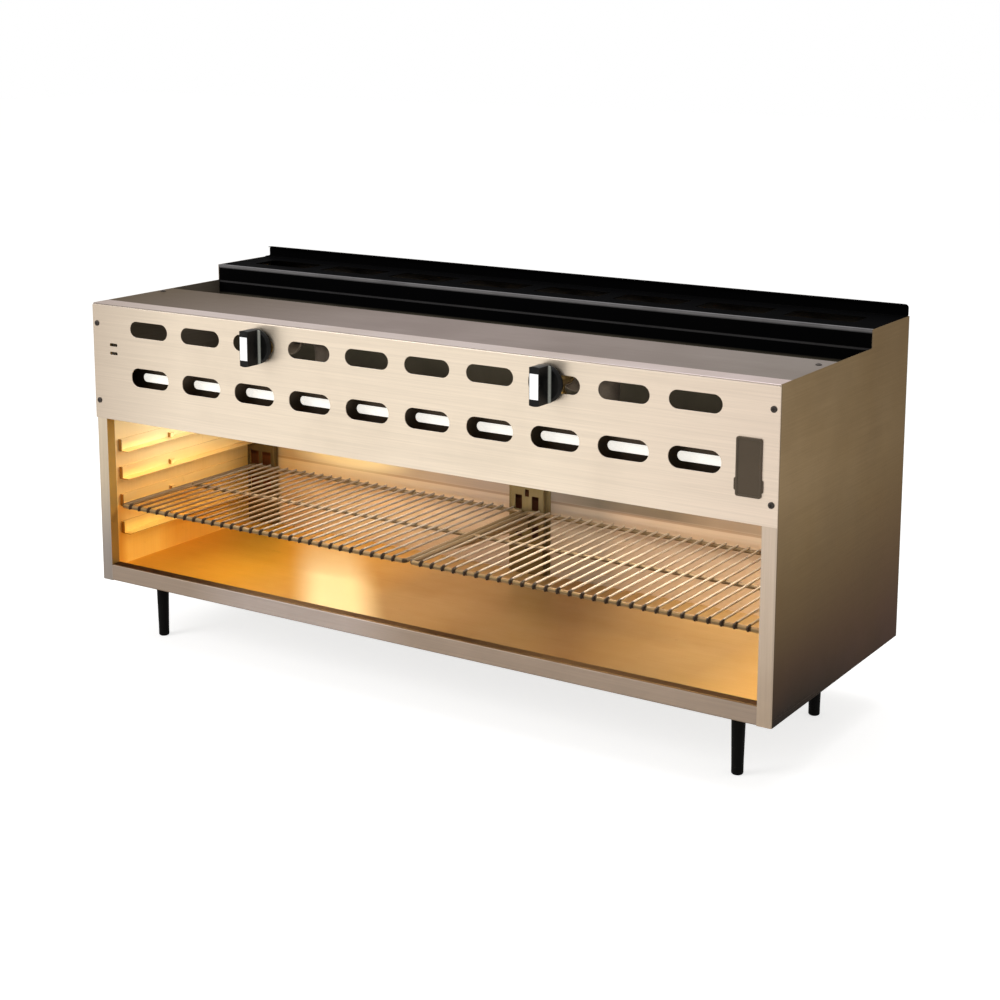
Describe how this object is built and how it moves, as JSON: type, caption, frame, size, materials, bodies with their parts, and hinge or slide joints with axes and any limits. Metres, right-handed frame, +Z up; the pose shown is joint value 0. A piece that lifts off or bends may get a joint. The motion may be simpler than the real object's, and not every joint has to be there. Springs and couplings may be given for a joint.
{
  "type": "gas cheese melter",
  "caption": "Countertop gas cheese melter: open-front stainless cabinet with slotted valve panel, downward infrared burners, sliding wire racks, rear flue and slim legs.",
  "frame": {"origin": "centre of the bounding box, at the underside of the feet", "axes": "+X along the cabinet to the right as seen from its front, +Y to the back, +Z up"},
  "size_m": [1.2192, 0.5054, 0.614],
  "materials": {
    "stainless": "brushed, warm grey",
    "aluminised": "dull mill finish",
    "heat_steel": "straw tinted by heat",
    "black_enamel": "satin black",
    "insulation": "white mineral blanket",
    "burner_iron": "dark, rough",
    "ceramic": null,
    "chrome_wire": "bright plated wire",
    "brass": "machined",
    "tube": "drawn tube",
    "phenolic": "black phenolic",
    "knob_insert": "bright strip",
    "badge": "plain dark plate, no lettering",
    "screws": "darkened heads"
  },
  "bodies": {
    "cabinet": {"left_side_panel": "stainless", "right_side_panel": "stainless", "valve_panel": "stainless", "top_panel": "aluminised", "bottom_rail": "stainless", "base_panel": "aluminised", "rear_panel": "aluminised", "burner_baffle": "heat_steel", "burner_deck": "heat_steel", "left_liner": "heat_steel", "right_liner": "heat_steel", "rear_liner": "heat_steel", "cavity_floor": "heat_steel", "rack_guides_left": "heat_steel", "rack_guides_right": "heat_steel", "centre_post": "heat_steel", "corner_posts": "heat_steel", "centre_support": "heat_steel", "flue_front": "black_enamel", "flue_top": "black_enamel", "flue_riser": "black_enamel", "front_insulation": "insulation", "cavity_insulation": "insulation", "burner_left": "burner_iron", "burner_right": "burner_iron", "burner_tiles_left": "ceramic", "burner_tiles_right": "ceramic", "burner_screen_left": "chrome_wire", "burner_screen_right": "chrome_wire", "venturi_left": "burner_iron", "venturi_right": "burner_iron", "gas_manifold": "burner_iron", "manifold_cap": "burner_iron", "manifold_brackets": "aluminised", "supply_pipe": "burner_iron", "gas_inlet": "brass", "valve_left": "brass", "valve_right": "brass", "orifices": "brass", "knob_bezels": "black_enamel", "pilots": "brass", "pilot_tubes": "tube", "legs": "black_enamel", "leg_plates": "aluminised", "badge_plate": "badge", "panel_screws": "screws", "case_screws": "screws"},
    "knob_turn_left": {"knob_left": "phenolic", "knob_insert_left": "knob_insert", "valve_stem_left": "brass"},
    "knob_turn_right": {"knob_right": "phenolic", "knob_insert_right": "knob_insert", "valve_stem_right": "brass"},
    "rack_tray_left": {"rack_left": "chrome_wire"},
    "rack_tray_right": {"rack_right": "chrome_wire"},
    "level_front_left": {"foot_front_left": "black_enamel"},
    "level_front_right": {"foot_front_right": "black_enamel"},
    "level_rear_left": {"foot_rear_left": "black_enamel"},
    "level_rear_right": {"foot_rear_right": "black_enamel"}
  },
  "joints": [
    {"name": "knob_left", "type": "hinge", "parent": "cabinet", "child": "knob_turn_left", "pos_m": [-0.259, -0.2163, 0.533], "axis": [0, -1, 0], "range_deg": [0, 90]},
    {"name": "knob_right", "type": "hinge", "parent": "cabinet", "child": "knob_turn_right", "pos_m": [0.259, -0.2163, 0.533], "axis": [0, -1, 0], "range_deg": [0, 90]},
    {"name": "rack_left_slide", "type": "slide", "parent": "cabinet", "child": "rack_tray_left", "axis": [0, -1, 0], "range_m": [0, 0.16]},
    {"name": "rack_right_slide", "type": "slide", "parent": "cabinet", "child": "rack_tray_right", "axis": [0, -1, 0], "range_m": [0, 0.16]},
    {"name": "foot_front_left_screw", "type": "slide", "parent": "cabinet", "child": "level_front_left", "axis": [0, 0, -1], "range_m": [0, 0.02]},
    {"name": "foot_front_right_screw", "type": "slide", "parent": "cabinet", "child": "level_front_right", "axis": [0, 0, -1], "range_m": [0, 0.02]},
    {"name": "foot_rear_left_screw", "type": "slide", "parent": "cabinet", "child": "level_rear_left", "axis": [0, 0, -1], "range_m": [0, 0.02]},
    {"name": "foot_rear_right_screw", "type": "slide", "parent": "cabinet", "child": "level_rear_right", "axis": [0, 0, -1], "range_m": [0, 0.02]}
  ]
}
